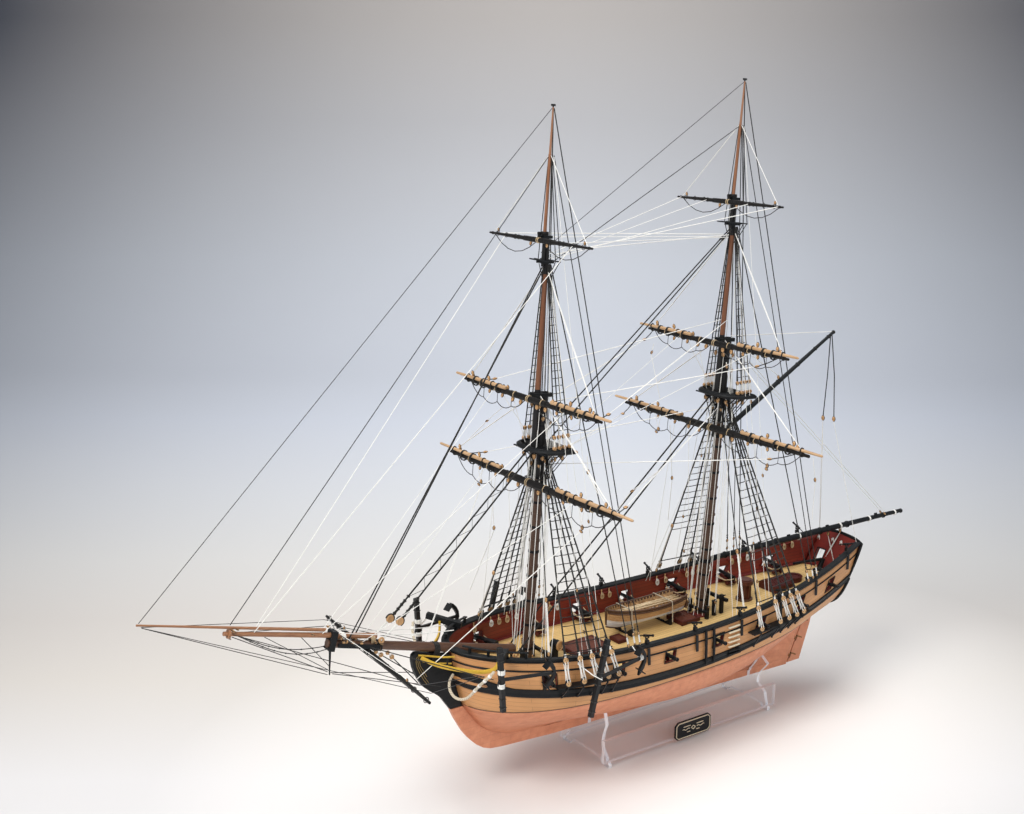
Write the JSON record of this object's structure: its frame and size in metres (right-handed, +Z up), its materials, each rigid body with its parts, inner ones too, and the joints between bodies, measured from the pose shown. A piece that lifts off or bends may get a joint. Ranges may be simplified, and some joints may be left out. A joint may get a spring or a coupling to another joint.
{
  "type": "model sailing ship",
  "caption": "Rigged display model of a two-masted square-rigged gun brig with guns, ship's boat and spars, resting on a clear cradle stand.",
  "frame": {"origin": "on the table plane under the middle of the stand, on the ship's centreline", "axes": "+X toward the bow, +Y to port, +Z up"},
  "size_m": [0.7432, 0.2496, 0.5384],
  "materials": {
    "acrylic": "polished clear sheet",
    "black_paint": "satin",
    "black_wood": "ebonised satin",
    "copper_plate": "matt",
    "pear_wood": "oiled",
    "red_wood": "satin paint",
    "deck_wood": "planked, matt",
    "walnut": "stained satin",
    "mahogany": "stained satin",
    "boxwood": "waxed",
    "ochre_paint": "painted",
    "brass": "aged",
    "gun_iron": "blackened",
    "rope": "tarred thread"
  },
  "bodies": {
    "stand": {"stand_cradles": "acrylic", "stand_side_plates": "acrylic", "nameplate": "black_paint"},
    "rudder": {"rudder_blade": "copper_plate", "pintles": "brass", "tiller": "black_wood"},
    "capstan": {"capstan_drum": "mahogany"},
    "boat": {"boat_hull": "pear_wood", "boat_fittings": "boxwood"},
    "gaff": {"gaff_spar": "black_wood"},
    "boom": {"boom_spar": "black_wood"},
    "fore_course": {"fore_course_yard": "black_wood"},
    "fore_topsail": {"fore_topsail_yard": "black_wood"},
    "fore_topgallant": {"fore_topgallant_yard": "black_wood"},
    "main_course": {"main_course_yard": "black_wood"},
    "main_topsail": {"main_topsail_yard": "black_wood"},
    "main_topgallant": {"main_topgallant_yard": "black_wood"},
    "ship": {"keel": "copper_plate", "stem_knee": "black_wood", "hull_bottom": "copper_plate", "hull_topsides": "pear_wood", "wales": "black_wood", "sheer_mouldings": "black_wood", "bulwark_lining": "red_wood", "deck": "deck_wood", "cap_rails": "black_wood", "stern_board": "black_wood", "head_rails": "ochre_paint", "catheads": "black_wood", "channels": "black_wood", "chain_plates": "black_paint", "deadeyes": "boxwood", "gudgeons": "brass", "fore_lower_mast": "walnut", "fore_top": "black_wood", "fore_topmast": "mahogany", "fore_crosstrees": "black_wood", "fore_topgallant_mast": "mahogany", "main_lower_mast": "walnut", "main_top": "black_wood", "main_topmast": "mahogany", "main_crosstrees": "black_wood", "main_topgallant_mast": "mahogany", "bowsprit": "walnut", "bowsprit_cap": "black_wood", "jib_boom": "boxwood", "spritsail_yard": "black_wood", "boat_chocks": "black_wood", "hatches": "red_wood", "capstan_base": "walnut", "skylight": "red_wood", "galley_funnel": "black_paint", "bitts_and_pumps": "black_wood", "side_ladder": "pear_wood", "gun_carriages": "red_wood", "gun_barrels": "gun_iron", "swivel_guns": "gun_iron", "anchors": "black_paint", "standing_rigging": "rope", "ratlines": "rope"}
  },
  "joints": [
    {"name": "ship_lift", "type": "slide", "parent": "stand", "child": "ship", "axis": [0, 0, 1], "range_m": [0, 0.12]},
    {"name": "rudder_swing", "type": "hinge", "parent": "ship", "child": "rudder", "pos_m": [-0.14874, 0, 0.05], "axis": [-0.4141, 0, 0.9102], "range_deg": [-28, 28]},
    {"name": "capstan_turn", "type": "hinge", "parent": "ship", "child": "capstan", "pos_m": [-0.079, 0, 0.10196], "axis": [0, 0, 1], "continuous": true},
    {"name": "boat_lift", "type": "slide", "parent": "ship", "child": "boat", "axis": [0, 0, 1], "range_m": [0, 0.05]},
    {"name": "fore_course_brace", "type": "hinge", "parent": "ship", "child": "fore_course", "pos_m": [0.14593, 0, 0.2405], "axis": [-0.0663, 0, 0.9978], "range_deg": [-20, 20]},
    {"name": "fore_topsail_brace", "type": "hinge", "parent": "ship", "child": "fore_topsail", "pos_m": [0.14825, 0, 0.30514], "axis": [-0.0663, 0, 0.9978], "range_deg": [-20, 20]},
    {"name": "fore_topgallant_brace", "type": "hinge", "parent": "ship", "child": "fore_topgallant", "pos_m": [0.14336, 0, 0.42715], "axis": [-0.0663, 0, 0.9978], "range_deg": [-18, 18]},
    {"name": "main_course_brace", "type": "hinge", "parent": "ship", "child": "main_course", "pos_m": [-0.03928, 0, 0.2574], "axis": [-0.075, 0, 0.9972], "range_deg": [-20, 20]},
    {"name": "main_topsail_brace", "type": "hinge", "parent": "ship", "child": "main_topsail", "pos_m": [-0.03799, 0, 0.3282], "axis": [-0.075, 0, 0.9972], "range_deg": [-20, 20]},
    {"name": "main_topgallant_brace", "type": "hinge", "parent": "ship", "child": "main_topgallant", "pos_m": [-0.04371, 0, 0.44704], "axis": [-0.075, 0, 0.9972], "range_deg": [-18, 18]},
    {"name": "gaff_swing", "type": "hinge", "parent": "ship", "child": "gaff", "pos_m": [-0.03873, 0, 0.25], "axis": [-0.075, 0, 0.9972], "range_deg": [-22, 22]},
    {"name": "boom_swing", "type": "hinge", "parent": "ship", "child": "boom", "pos_m": [-0.03064, 0, 0.1425], "axis": [-0.075, 0, 0.9972], "range_deg": [-22, 22]}
  ]
}
